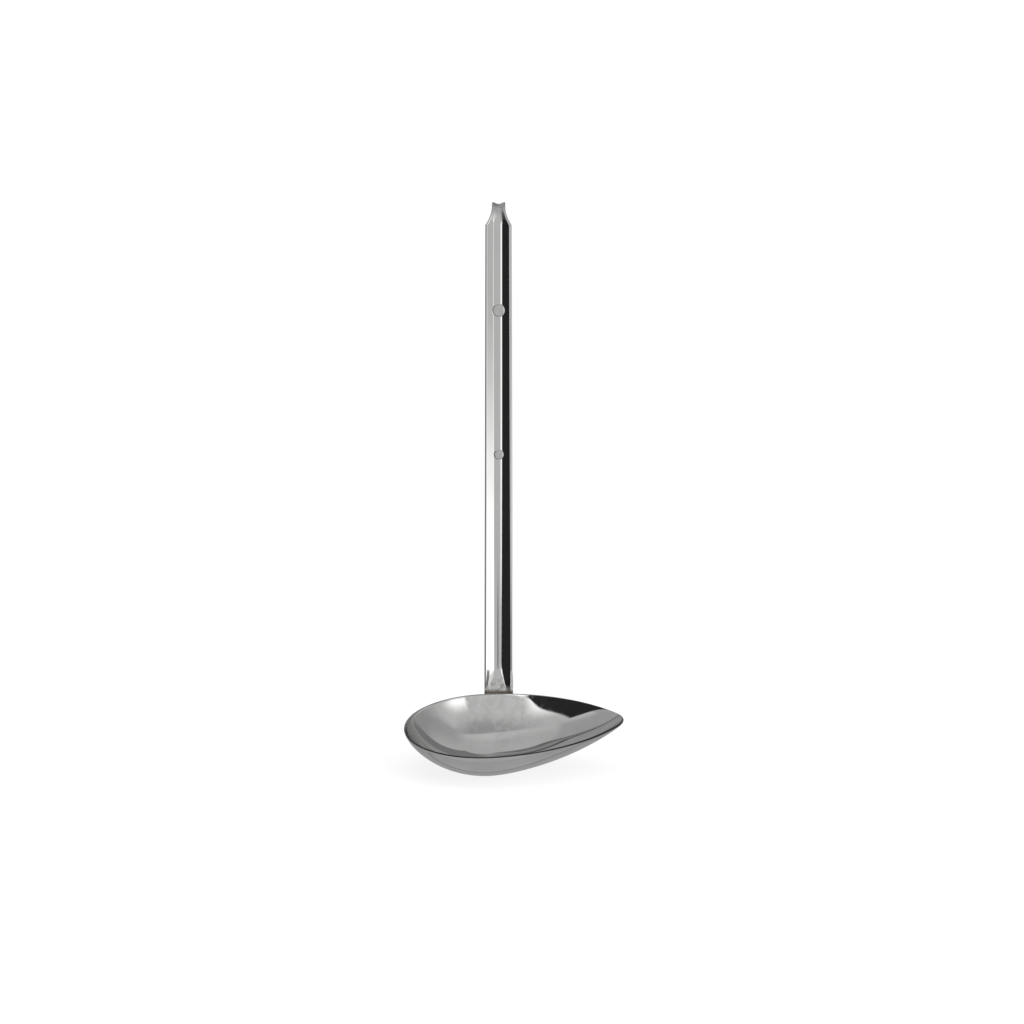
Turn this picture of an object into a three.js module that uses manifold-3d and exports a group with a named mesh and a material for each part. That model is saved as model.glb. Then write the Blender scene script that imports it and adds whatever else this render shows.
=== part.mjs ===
// A polished steel sauce ladle: a pressed bowl drawn out into a side spout, a channelled strip handle
// that ends in a hanging hook, and the welds that join the two.
// Millimetres and degrees. The origin is the middle of the hook's inner seat, +Z is up, the spout
// points towards +X and the handle's hollow face looks towards -Y, to which the bowl tips a little.
import * as THREE from "three";
import { mergeVertices } from "three/addons/utils/BufferGeometryUtils.js";
import Module from "manifold-3d";

// Driving dimensions of the bowl
const bowlRadius = 37.9; // rim radius of the round end, outside
const spoutReach = 63.2; // from the round end's centre to the spout's tip
const tipRadius = 12.3; // rounding of the spout's tip, seen from above
const bowlDepth = 20.9; // from the rim to the lowest point outside
const bowlSheet = 1; // wall thickness
const rimCrown = 0.3; // height of the rounded rim edge above the wall
const roundWallPower = 1.42; // 1 makes the round end's section an ellipse, 2 a parabola
const spoutWallPower = 1.76; // the same for the section along the spout
const pourTurn = 1.9; // turn of the spout's axis, from the handle's width towards the back
const bowlTilt = 10; // forward tip of the bowl, from square to the handle
const spoutRise = 1.9; // tip of the bowl away from the spout
const bowlShift = 5.6; // from the handle's centre line back to the round end's centre

// Driving dimensions of the handle
const rimDrop = 227.1; // from the hook's seat down to the rim at the handle
const footWidth = 13.4; // strip width at the rim
const topWidth = 12.1; // strip width at the shoulder below the hook
const handleSheet = 1.5; // strip thickness
const channelDepth = 2.1; // hollow of the front face
const valleyWidth = 4.2; // flat bottom of the hollow
const lipWidth = 1.2; // flat edge on each side of the hollow
const edgeRound = 0.35; // broken edge of the strip
const shoulderLength = 8; // run over which the shoulder narrows to the neck
const shoulderPower = 2.5; // how early in that run it narrows
const neckWidth = 6.2;
const neckDepth = 1.2; // hollow of the neck and hook
const neckValley = 1.8;
const neckLip = 0.6;
const neckRise = 0.2; // from the shoulder up to the hook's first bend
const hookRadius = 6.8; // inner radius of the hook's two bends
const hookRun = 2; // flat seat between the bends
const tailLength = 12; // straight end of the hook

// Driving dimensions of the joint between handle and bowl
const tongueLength = 9; // how far the strip reaches below the rim
const tongueCorner = 4; // rounded corners of the strip's lower end
const tongueGap = 0.3; // between the strip and the bowl's wall
const fadeAbove = 4; // the hollow starts to flatten this far above the rim
const fadeBelow = 8; // and has gone this far below it
const seamRadius = 0.7; // weld bead round the strip's lower end
const seamTop = 1.2; // the bead starts this far below the rim
const rimWeldLength = 7; // weld between the rim and the hollow
const rimWeldDepth = 1.4;
const weldGap = 0.2; // between a weld and what it joins

// Round pads pressed into the hollow: diameter, height above the valley, drop below the seat
const upperPad = { diameter: 5.8, height: 0.9, drop: 46.7 };
const lowerPad = { diameter: 4.4, height: 0.7, drop: 114.1 };

// Fineness of the curved surfaces
const roundSteps = 30;
const sideSteps = 14;
const tipSteps = 8;
const wallRings = 12;
const tongueSteps = 12;
const bendSteps = 10;
const cornerSteps = 5;
const beadSteps = 30;
const rimWeldSteps = 12;
const padSides = 28;
const probe = 0.05; // step for measuring the slope of a wall

const rimZ = -rimDrop;
const shoulderZ = -hookRadius - neckRise;
const tongueTop = rimZ + fadeAbove;
const tongueEnd = rimZ - tongueLength;
const backY = -hookRadius - hookRun / 2; // back of the handle's valley
const valleyY = backY - handleSheet; // front of the handle's valley
const lipY = valleyY - channelDepth; // front plane of the handle's lips
const turn = THREE.MathUtils.degToRad(pourTurn);
const tilt = THREE.MathUtils.degToRad(bowlTilt);
const roll = THREE.MathUtils.degToRad(spoutRise);
const sideRadius =
  (bowlRadius ** 2 + spoutReach ** 2 - 2 * tipRadius * spoutReach) / (2 * (bowlRadius - tipRadius));
const sideInset = sideRadius - bowlRadius; // how far the side arcs' centres lie past the bowl's axis
const tipCentre = spoutReach - tipRadius;
const tipTurn = Math.atan2(sideInset, tipCentre); // where a side arc gives way to the tip
const tipAngle = Math.atan2(tipRadius * Math.sin(tipTurn), tipCentre + tipRadius * Math.cos(tipTurn));
const backReach = sideRadius - sideInset * Math.cos(turn); // from the round end's centre to the rim's back
const rimBack = new THREE.Vector3(bowlShift, backReach, 0).applyEuler(new THREE.Euler(tilt, -roll, 0));
const bowlPlace = new THREE.Vector3(0, lipY - tongueGap, rimZ).sub(rimBack);
const bowlTurn = new THREE.Euler(tilt, -roll, turn);
const intoBowl = new THREE.Matrix4().makeRotationFromEuler(bowlTurn).setPosition(bowlPlace).invert();

const quarterTurn = Math.PI / 2;
const smooth = (t) => THREE.MathUtils.smoothstep(t, 0, 1);
const { clamp, lerp } = THREE.MathUtils;
const point = (x, y, z) => new THREE.Vector3(x, y, z);

// Closed solid through a row of rings with the same number of points, with both ends capped
function loft(rings, cap) {
  const count = rings[0].length;
  const index = [];
  for (let r = 0; r + 1 < rings.length; r++)
    for (let i = 0; i < count; i++) {
      const a = r * count + i;
      const b = r * count + ((i + 1) % count);
      index.push(a, b, b + count, a, b + count, a + count);
    }
  const last = (rings.length - 1) * count;
  for (const [a, b, c] of cap(count)) index.push(a, c, b, last + a, last + b, last + c);
  const places = rings.flat().flatMap((p) => [p.x, p.y, p.z]);
  const geometry = new THREE.BufferGeometry();
  geometry.setAttribute("position", new THREE.Float32BufferAttribute(places, 3));
  geometry.setIndex(index);
  return geometry;
}

// Cap of a convex ring
function fanCap(count) {
  return Array.from({ length: count - 2 }, (_, i) => [0, i + 1, i + 2]);
}

// Cap of a strip's ring, whose first half is its front and whose second half comes back behind it
function stripCap(count) {
  const triangles = [];
  for (let i = 0; i + 1 < count / 2; i++)
    triangles.push([i, i + 1, count - 2 - i], [i, count - 2 - i, count - 1 - i]);
  return triangles;
}

// The bowl's own frame has its origin at the round end's centre in the rim plane, spout along +X

// Distance from the centre to the outer rim in one direction
function rimReach(angle) {
  const a = Math.abs(THREE.MathUtils.euclideanModulo(angle + Math.PI, 2 * Math.PI) - Math.PI);
  if (a >= quarterTurn) return bowlRadius;
  if (a >= tipAngle) {
    const along = -sideInset * Math.sin(a);
    return along + Math.sqrt(along ** 2 - sideInset ** 2 + sideRadius ** 2);
  }
  const along = tipCentre * Math.cos(a);
  return along + Math.sqrt(along ** 2 - tipCentre ** 2 + tipRadius ** 2);
}

// The section's power turns from the round end's to the spout's
function wallPower(angle) {
  return lerp(roundWallPower, spoutWallPower, smooth(Math.max(Math.cos(angle), 0)));
}

// Point of the outer wall; rise goes from 0 at the lowest point to a quarter turn at the rim
function wallPoint(angle, rise) {
  const reach = rimReach(angle) * Math.sin(rise);
  const z = -bowlDepth * Math.max(Math.cos(rise), 0) ** wallPower(angle);
  return point(reach * Math.cos(angle), reach * Math.sin(angle), z);
}

// Outward normal of the wall, from two short steps along it
function wallNormal(angle, rise) {
  const step = 1e-3;
  const at = Math.min(rise, quarterTurn - 2 * step);
  const across = wallPoint(angle + step, at).sub(wallPoint(angle - step, at));
  const up = wallPoint(angle, at + step).sub(wallPoint(angle, at - step));
  return across.cross(up).normalize();
}

// Directions of the rim's points, in even steps along each of its arcs
function rimAngles() {
  const angles = [];
  const arc = (from, to, steps, cx, cy, radius) => {
    for (let i = 0; i < steps; i++) {
      const a = lerp(from, to, i / steps);
      angles.push(Math.atan2(cy + radius * Math.sin(a), cx + radius * Math.cos(a)));
    }
  };
  arc(quarterTurn, 3 * quarterTurn, roundSteps, 0, 0, bowlRadius);
  arc(-quarterTurn, -tipTurn, sideSteps, 0, sideInset, sideRadius);
  arc(-tipTurn, tipTurn, tipSteps, tipCentre, 0, tipRadius);
  arc(tipTurn, quarterTurn, sideSteps, 0, -sideInset, sideRadius);
  return angles;
}

function bowlGeometry() {
  const angles = rimAngles();
  const rises = Array.from({ length: wallRings }, (_, i) => ((i + 1) / wallRings) * quarterTurn);
  const ring = (rise, inset, lift) =>
    angles.map((angle) => {
      const place = wallPoint(angle, rise).addScaledVector(wallNormal(angle, rise), -inset);
      place.z += lift;
      return place;
    });
  const outer = rises.map((rise) => ring(rise, 0, 0));
  const crown = ring(quarterTurn, bowlSheet / 2, rimCrown);
  const inner = rises.map((rise) => ring(rise, bowlSheet, 0)).reverse();
  return loft([...outer, crown, ...inner], fanCap);
}

// Place of the bowl's outer wall in the ladle's frame, at an offset and height behind the bowl
function wallY(x, z) {
  let within = bowlPlace.y;
  let beyond = backY + bowlDepth;
  const halvings = 40;
  for (let i = 0; i < halvings; i++) {
    const y = (within + beyond) / 2;
    const at = point(x, y, z).applyMatrix4(intoBowl);
    const angle = Math.atan2(at.y, at.x);
    const level = clamp(-at.z / bowlDepth, 0, 1);
    const reach = rimReach(angle) * Math.sqrt(1 - level ** (2 / wallPower(angle)));
    if (Math.hypot(at.x, at.y) < reach) within = y;
    else beyond = y;
  }
  return within;
}

// Half section of the strip: offset across it, lift of its front above the valley, broken edge
function sectionOf(width, valley, lip, depth) {
  const half = width / 2;
  return [
    { x: valley / 2, lift: 0, inset: 0 },
    { x: half - lip, lift: depth, inset: 0 },
    { x: half - edgeRound, lift: depth, inset: 0 },
    { x: half, lift: depth, inset: edgeRound },
  ];
}

// Ring of the strip, given its front for an offset and lift, and the way into the sheet
function stripRing(section, front, into) {
  const left = section.map((s) => ({ ...s, x: -s.x })).reverse();
  const row = [...left, ...section];
  const face = row.map((s) => front(s.x, s.lift).addScaledVector(into, s.inset));
  const back = row.map((s) => front(s.x, s.lift).addScaledVector(into, handleSheet - s.inset));
  return [...face, ...back.reverse()];
}

// Lift of the front above the valley at an offset, where the strip has its full width
function liftAt(x) {
  const flank = (Math.abs(x) - valleyWidth / 2) / (footWidth / 2 - lipWidth - valleyWidth / 2);
  return channelDepth * clamp(flank, 0, 1);
}

// Front of the handle near the rim, where the hollow flattens and the strip turns onto the wall
function frontY(x, z) {
  const hollow = smooth((z - rimZ + fadeBelow) / (fadeAbove + fadeBelow));
  const seated = wallY(x, Math.min(z, rimZ)) + tongueGap;
  return lerp(seated, valleyY - liftAt(x), hollow);
}

// Rings of the tongue from its rounded lower end up to where the full hollow starts
function tongueRings() {
  const firstTurn = quarterTurn / (cornerSteps + 1); // leaves a short straight edge at the very end
  const places = [];
  for (let i = 0; i < cornerSteps; i++) {
    const a = lerp(firstTurn, quarterTurn, i / cornerSteps);
    const half = footWidth / 2 - tongueCorner * (1 - Math.sin(a));
    places.push({ z: tongueEnd + tongueCorner * (1 - Math.cos(a)), half });
  }
  for (let i = 0; i < tongueSteps; i++)
    places.push({ z: lerp(tongueEnd + tongueCorner, tongueTop, i / tongueSteps), half: footWidth / 2 });
  return places.map(({ z, half }) => {
    const slope = (frontY(0, z + probe) - frontY(0, z - probe)) / (2 * probe);
    const into = point(0, 1, -slope).normalize();
    const section = sectionOf(2 * half, valleyWidth, lipWidth, channelDepth);
    return stripRing(section, (x) => point(x, frontY(x, z), z), into);
  });
}

// Rings at both ends of the straight length
function straightRings() {
  const ends = [
    { z: tongueTop, width: footWidth },
    { z: shoulderZ, width: topWidth },
  ];
  return ends.map(({ z, width }) => {
    const section = sectionOf(width, valleyWidth, lipWidth, channelDepth);
    return stripRing(section, (x, lift) => point(x, valleyY - lift, z), point(0, 1, 0));
  });
}

// Path of the valley's back from the shoulder over the hook, with the way that the front looks
function hookPath() {
  const path = [];
  const bend = (centreY, from) => {
    for (let i = 0; i <= bendSteps; i++) {
      const a = from + (quarterTurn * i) / bendSteps;
      const looks = point(0, -Math.cos(a), Math.sin(a));
      path.push({ place: point(0, centreY, -hookRadius).addScaledVector(looks, hookRadius), looks });
    }
  };
  bend(-hookRun / 2, 0);
  bend(hookRun / 2, quarterTurn);
  path.push({ place: point(0, -backY, -hookRadius - tailLength), looks: point(0, 1, 0) });
  return path;
}

// Rings of the shoulder, neck and hook
function hookRings() {
  let last = point(0, backY, shoulderZ);
  let run = 0;
  return hookPath().map(({ place, looks }) => {
    run += place.distanceTo(last);
    last = place;
    const wide = (1 - Math.min(run / shoulderLength, 1)) ** shoulderPower; // 1 at the shoulder, then 0
    const section = sectionOf(
      lerp(neckWidth, topWidth, wide),
      lerp(neckValley, valleyWidth, wide),
      lerp(neckLip, lipWidth, wide),
      lerp(neckDepth, channelDepth, wide),
    );
    const front = (x, lift) => point(x, 0, 0).add(place).addScaledVector(looks, handleSheet + lift);
    return stripRing(section, front, looks.clone().negate());
  });
}

const wasm = await Module();
wasm.setup();

// A geometry's merged triangles as a solid that can be joined
function solidOf(geometry) {
  const plain = geometry.clone();
  plain.deleteAttribute("normal");
  plain.deleteAttribute("uv");
  const merged = mergeVertices(plain);
  const mesh = new wasm.Mesh({
    numProp: 3,
    vertProperties: merged.attributes.position.array,
    triVerts: new Uint32Array(merged.index.array),
  });
  return new wasm.Manifold(mesh);
}

function geometryOf(solid) {
  const mesh = solid.getMesh();
  const geometry = new THREE.BufferGeometry();
  geometry.setAttribute("position", new THREE.Float32BufferAttribute(mesh.vertProperties, 3));
  geometry.setIndex(Array.from(mesh.triVerts));
  return geometry;
}

// A round pad that stands in the hollow, rooted in the middle of the sheet
function padGeometry({ diameter, height, drop }) {
  const root = handleSheet / 2;
  const pad = new THREE.CylinderGeometry(diameter / 2, diameter / 2, height + root, padSides);
  return pad.translate(0, valleyY + (root - height) / 2, -drop);
}

// The handle with its round pads
function handleGeometry() {
  const strip = solidOf(loft([...tongueRings(), ...straightRings(), ...hookRings()], stripCap));
  const pads = [upperPad, lowerPad].map((pad) => solidOf(padGeometry(pad)));
  return geometryOf(pads.reduce((joined, pad) => joined.add(pad), strip));
}

// Weld bead on the bowl's wall round the strip's lower end
function seamGeometry() {
  const stand = seamRadius + weldGap;
  const place = (x, z) => {
    const slopeX = (wallY(x + probe, z) - wallY(x - probe, z)) / (2 * probe);
    const slopeZ = (wallY(x, z + probe) - wallY(x, z - probe)) / (2 * probe);
    const out = point(-slopeX, 1, -slopeZ).normalize();
    return point(x, wallY(x, z), z).addScaledVector(out, stand);
  };
  const half = footWidth / 2 + stand;
  const centreX = footWidth / 2 - tongueCorner;
  const centreZ = tongueEnd + tongueCorner;
  const bend = (cx, from) =>
    Array.from({ length: cornerSteps + 1 }, (_, i) => {
      const a = from + (quarterTurn * i) / cornerSteps;
      const reach = tongueCorner + stand;
      return place(cx + reach * Math.cos(a), centreZ + reach * Math.sin(a));
    });
  const path = new THREE.CatmullRomCurve3([
    place(-half, rimZ - seamTop),
    ...bend(-centreX, 2 * quarterTurn),
    ...bend(centreX, 3 * quarterTurn),
    place(half, rimZ - seamTop),
  ]);
  const bead = new THREE.Shape().absarc(0, 0, seamRadius, 0, 2 * Math.PI);
  return new THREE.ExtrudeGeometry(bead, { curveSegments: 5, steps: beadSteps, extrudePath: path });
}

// Weld that fills the hollow between the rim and the handle's front
function rimWeldGeometry() {
  const low = rimZ - rimWeldDepth;
  const rings = Array.from({ length: rimWeldSteps + 1 }, (_, i) => {
    const x = lerp(-rimWeldLength / 2, rimWeldLength / 2, i / rimWeldSteps);
    const near = (z) => point(x, wallY(x, z) + weldGap, z);
    const far = (z) => point(x, frontY(x, z) - weldGap, z);
    return [near(low), far(low), far(rimZ), near(rimZ)];
  });
  return loft(rings, fanCap);
}

function steelPiece(name, geometry, color, roughness) {
  geometry.computeVertexNormals();
  const material = new THREE.MeshStandardMaterial({ color, roughness, metalness: 1 });
  const mesh = new THREE.Mesh(geometry, material);
  mesh.name = name;
  return mesh;
}

const bowl = steelPiece("bowl", bowlGeometry(), 0xc9c9c8, 0.1);
bowl.position.copy(bowlPlace);
bowl.rotation.copy(bowlTurn);

const ladle = new THREE.Group();
ladle.add(bowl);
ladle.add(steelPiece("handle", handleGeometry(), 0xc6c6c5, 0.12));
ladle.add(steelPiece("weld_seam", seamGeometry(), 0xa8a199, 0.4));
ladle.add(steelPiece("rim_weld", rimWeldGeometry(), 0x9c8f80, 0.45));

export default ladle;
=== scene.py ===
from math import atan2, ceil, cos, hypot, pi, radians, sin, sqrt
import bpy
from mathutils import Matrix, Vector


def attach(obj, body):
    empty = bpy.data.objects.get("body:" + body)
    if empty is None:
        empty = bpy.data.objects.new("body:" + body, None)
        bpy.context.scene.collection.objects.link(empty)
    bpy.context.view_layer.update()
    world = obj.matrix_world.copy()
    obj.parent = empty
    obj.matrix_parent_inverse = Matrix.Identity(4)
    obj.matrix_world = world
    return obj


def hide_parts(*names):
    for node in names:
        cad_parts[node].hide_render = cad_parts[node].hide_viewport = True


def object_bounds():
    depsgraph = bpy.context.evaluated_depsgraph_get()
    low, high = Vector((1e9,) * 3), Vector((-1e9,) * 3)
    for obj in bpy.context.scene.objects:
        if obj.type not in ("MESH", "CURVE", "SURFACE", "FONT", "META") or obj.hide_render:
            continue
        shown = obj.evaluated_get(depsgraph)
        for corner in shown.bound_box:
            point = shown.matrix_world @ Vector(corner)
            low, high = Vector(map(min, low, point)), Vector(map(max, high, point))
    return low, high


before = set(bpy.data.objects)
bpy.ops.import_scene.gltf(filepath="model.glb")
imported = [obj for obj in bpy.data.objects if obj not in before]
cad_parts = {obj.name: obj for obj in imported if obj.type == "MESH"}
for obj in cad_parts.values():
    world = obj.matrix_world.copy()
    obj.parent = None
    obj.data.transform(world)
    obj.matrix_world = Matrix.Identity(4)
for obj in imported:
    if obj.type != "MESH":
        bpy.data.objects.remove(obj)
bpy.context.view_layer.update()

# A polished steel sauce ladle in a white studio, seen from the front and a little above.
# The frame is the ladle's own: origin in the hook's seat, +Z up along the handle, spout towards +X,
# and the handle's hollow face towards -Y. Lengths are in millimetres and become metres in the meshes.
MM = 0.001

# Bowl
BOWL_RADIUS = 37.9
SPOUT_REACH = 63.2
TIP_RADIUS = 12.3
BOWL_DEPTH = 20.9
BOWL_SHEET = 1.0
RIM_ROUND = 0.2  # rounding of the rim's two edges
ROUND_WALL_POWER = 1.42  # profile of the wall at the round end: 1 is an ellipse and 2 a parabola
SPOUT_WALL_POWER = 1.76  # the same towards the spout
POUR_TURN = radians(1.9)  # turn of the spout towards the back
BOWL_TILT = radians(10.0)  # tip of the whole bowl towards the front
SPOUT_RISE = radians(1.9)
BOWL_SHIFT = 5.6  # the handle stands this far from the round end's centre, on the spout's side
TIP_SPREAD = radians(1.0)  # the rim's arcs run into each other over this angle at the spout's tip
SIDE_SPREAD = radians(18.0)  # over this one at its sides
DEEP_SPREAD = radians(30.0)  # and over this one at the bottom
SIDE_START = radians(30.0)  # the tip's spread starts to turn into the sides' one this far off the spout
SIDE_TURN = radians(30.0)  # and has turned into it over this angle

# Handle
RIM_DROP = 227.1
FOOT_WIDTH = 13.4
TOP_WIDTH = 12.1
HANDLE_SHEET = 1.5
CHANNEL_DEPTH = 2.1
VALLEY_WIDTH = 4.5
VALLEY_SLOPE = 0.19  # slope that the valley's shallow arc reaches at its edges
LIP_WIDTH = 1.1
CHANNEL_SHIFT = 0.2  # the hollow lies this far to the left of the strip's middle
EDGE_ROUND = 0.5
END_INSET = 0.3  # inset of the strip's two cut ends
VALLEY_BLEND = 0.45  # half width of the rounding between valley and flank
LIP_BLEND = 0.3  # half width of the rounding between flank and lip
SHOULDER_LENGTH = 8.0
SHOULDER_POWER = 2.5
NECK_WIDTH = 6.2
NECK_DEPTH = 0.8
NECK_VALLEY = 1.8
NECK_LIP = 0.8
NECK_BLEND = 0.7
NECK_RISE = 0.2
HOOK_RADIUS = 6.8
HOOK_RUN = 2.0
TAIL_LENGTH = 12.0

# Round pads in the handle's hollow: radius, height above the valley, drop below the seat
UPPER_PAD = (2.7, 0.9, 46.7)
LOWER_PAD = (2.05, 0.7, 114.1)
PADS = (UPPER_PAD, LOWER_PAD)
PAD_EDGE = 0.5  # run over which a pad's edge falls to the hollow

# Joint between the two
TONGUE_LENGTH = 9.0
TONGUE_CORNER = 4.0
TONGUE_FIRST_TURN = radians(12)  # the tongue's rings start this far round its lower corners
TONGUE_GAP = 0.3
FADE_ABOVE = 11.5  # the hollow starts to flatten this far above the rim
FADE_BELOW = 2.5  # and has gone this far below it
FADE_WIDENING = 1.0  # share by which the valley widens as the hollow flattens
FADE_BLEND = 1.4  # half width of the rounding beside the valley where the hollow is gone
WELD_GAP = 0.2
SEAM_RADIUS = 0.7
SEAM_TOP = 1.2  # the bead's ends lie this far below the rim
SEAM_STAND = 0.75  # share of its radius by which the bead's middle stands off the wall
SEAM_HEIGHT = 0.9  # height of the bead as a share of its width
SEAM_TAPER = 1.2  # run over which the bead's ends close
SEAM_POINT = 0.02  # least share of that run, so that the ends don't shrink to a point
SEAM_RIPPLE = 0.12  # height of the ripples as a share of the bead's radius
SEAM_PITCH = 0.8
RIM_WELD_LENGTH = 11.6
RIM_WELD_DEPTH = 1.4
RIM_WELD_CLIMB = 0.45  # the weld meets the handle this far above the rim
RIM_WELD_SAG = 0.25
RIM_WELD_RIPPLE = 0.05
RIM_WELD_PITCH = 0.9

# Fineness of the meshes
SHARP_ANGLE = radians(50)  # edges that turn more than this stay sharp
PROBE = 0.05  # step for measuring a slope in millimetres
TURN_PROBE = 1e-3  # and one in radians
WALL_HALVINGS = 30  # halvings that find the bowl's wall
SPREAD_COUNT = 5  # steps from the middle of a spread to its end
ROUND_STEPS = 110
SIDE_STEPS = 60
TIP_STEPS = 28
WALL_STEPS = 56
RIM_BANDS = 1  # upper bands of the outer wall's faces that share the rim's material
CORNER_STEPS = 5
FACE_STEPS = 84
TONGUE_END_STEPS = 14
TONGUE_STEPS = 30
PAD_STEP = 0.14  # between the rings at the pads and at the shoulder
PLAIN_STEP = 3.0  # between the other rings of the straight length
SHOULDER_LEAD = 1.0  # the rings are close together from this far below the shoulder
HOOK_STEPS = 40
TAIL_STEPS = 8
SEAM_SIDES = 16
SEAM_STEPS = 36
SEAM_CORNER_STEPS = 40
RIM_WELD_STEPS = 90
RIM_WELD_TOP_STEPS = 8

RIM_Z = -RIM_DROP
SHOULDER_Z = -HOOK_RADIUS - NECK_RISE
TONGUE_TOP = RIM_Z + FADE_ABOVE
TONGUE_END = RIM_Z - TONGUE_LENGTH
BACK_Y = -HOOK_RADIUS - HOOK_RUN / 2
VALLEY_Y = BACK_Y - HANDLE_SHEET
LIP_Y = VALLEY_Y - CHANNEL_DEPTH
SIDE_RADIUS = (BOWL_RADIUS**2 + SPOUT_REACH**2 - 2 * TIP_RADIUS * SPOUT_REACH) / (
    2 * (BOWL_RADIUS - TIP_RADIUS)
)
SIDE_INSET = SIDE_RADIUS - BOWL_RADIUS
TIP_CENTRE = SPOUT_REACH - TIP_RADIUS
TIP_TURN = atan2(SIDE_INSET, TIP_CENTRE)
TIP_ANGLE = atan2(TIP_RADIUS * sin(TIP_TURN), TIP_CENTRE + TIP_RADIUS * cos(TIP_TURN))
BACK_REACH = SIDE_RADIUS - SIDE_INSET * cos(POUR_TURN)
BOWL_TIP = Matrix.Rotation(BOWL_TILT, 4, "X") @ Matrix.Rotation(-SPOUT_RISE, 4, "Y")
BOWL_PLACE = Vector((0, LIP_Y - TONGUE_GAP, RIM_Z)) - BOWL_TIP @ Vector((BOWL_SHIFT, BACK_REACH, 0))
OUT_OF_BOWL = Matrix.Translation(BOWL_PLACE) @ BOWL_TIP @ Matrix.Rotation(POUR_TURN, 4, "Z")
INTO_BOWL = OUT_OF_BOWL.inverted()
# Shares of a spread with their weights, which add up to 1
SPREAD_STEPS = [
    (i / SPREAD_COUNT, (1 + cos(pi * i / SPREAD_COUNT)) / (2 * SPREAD_COUNT))
    for i in range(1 - SPREAD_COUNT, SPREAD_COUNT)
]


def lerp(a, b, t):
    return a + (b - a) * t


def smooth(t):
    t = min(max(t, 0.0), 1.0)
    return t * t * (3 - 2 * t)


def even(low, high, steps):
    """Values from low to high, both included."""
    return [lerp(low, high, i / steps) for i in range(steps + 1)]


# Meshes


def mesh_piece(name, places, faces, materials, node, material_of=None):
    """A smooth mesh from places in millimetres, which stands for a solid of the frame."""
    mesh = bpy.data.meshes.new(name)
    mesh.from_pydata([tuple(p * MM for p in place) for place in places], [], faces)
    for material in materials:
        mesh.materials.append(material)
    for i, polygon in enumerate(mesh.polygons):
        polygon.use_smooth = True
        if material_of:
            polygon.material_index = material_of(i)
    mesh.set_sharp_from_angle(angle=SHARP_ANGLE)
    mesh.validate()
    piece = bpy.data.objects.new(name, mesh)
    bpy.context.scene.collection.objects.link(piece)
    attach(piece, "root")
    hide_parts(node)
    return piece


def ring_faces(rings, count):
    """Quads between rings that have the same number of places, one after the other."""
    faces = []
    for r in range(rings - 1):
        for i in range(count):
            a, b = r * count + i, r * count + (i + 1) % count
            faces.append((a, b, b + count, a + count))
    return faces


# Bowl, in its own frame: origin at the round end's centre in the rim plane, spout along +X


def off_spout(angle):
    """Angle between a direction and the spout's, from 0 to half a turn."""
    return abs((angle + pi) % (2 * pi) - pi)


def rim_reach(angle):
    """Distance from the centre to the outer rim."""
    a = off_spout(angle)
    if a >= pi / 2:
        return BOWL_RADIUS
    if a >= TIP_ANGLE:
        along = -SIDE_INSET * sin(a)
        return along + sqrt(along**2 - SIDE_INSET**2 + SIDE_RADIUS**2)
    along = TIP_CENTRE * cos(a)
    return along + sqrt(max(along**2 - TIP_CENTRE**2 + TIP_RADIUS**2, 0))


def wall_reach(angle, share):
    """Distance to the outer wall at a share of the rim's size. The outline softens with the depth."""
    aside = smooth((off_spout(angle) - SIDE_START) / SIDE_TURN)
    spread = lerp(DEEP_SPREAD, lerp(TIP_SPREAD, SIDE_SPREAD, aside), share)
    return share * sum(weight * rim_reach(angle + step * spread) for step, weight in SPREAD_STEPS)


def wall_power(angle):
    return lerp(ROUND_WALL_POWER, SPOUT_WALL_POWER, smooth(max(cos(angle), 0)))


def wall_point(angle, rise):
    """Place on the outer wall. Rise goes from 0 at the bottom to a quarter turn at the rim."""
    reach = wall_reach(angle, sin(rise))
    depth = BOWL_DEPTH * max(cos(rise), 0) ** wall_power(angle)
    return Vector((reach * cos(angle), reach * sin(angle), -depth))


def wall_normal(angle, rise):
    step = TURN_PROBE
    at = min(rise, pi / 2 - 2 * step)
    along = wall_point(angle + step, at) - wall_point(angle - step, at)
    up = wall_point(angle, at + step) - wall_point(angle, at - step)
    return along.cross(up).normalized()


def rim_angles():
    """Directions of the rim's places, in even steps along each of its arcs."""
    arcs = (
        (pi / 2, 3 * pi / 2, ROUND_STEPS, 0, 0, BOWL_RADIUS),
        (-pi / 2, -TIP_TURN, SIDE_STEPS, 0, SIDE_INSET, SIDE_RADIUS),
        (-TIP_TURN, TIP_TURN, TIP_STEPS, TIP_CENTRE, 0, TIP_RADIUS),
        (TIP_TURN, pi / 2, SIDE_STEPS, 0, -SIDE_INSET, SIDE_RADIUS),
    )
    angles = []
    for start, end, steps, centre_x, centre_y, radius in arcs:
        for a in even(start, end, steps)[:-1]:
            angles.append(atan2(centre_y + radius * sin(a), centre_x + radius * cos(a)))
    return angles


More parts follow.
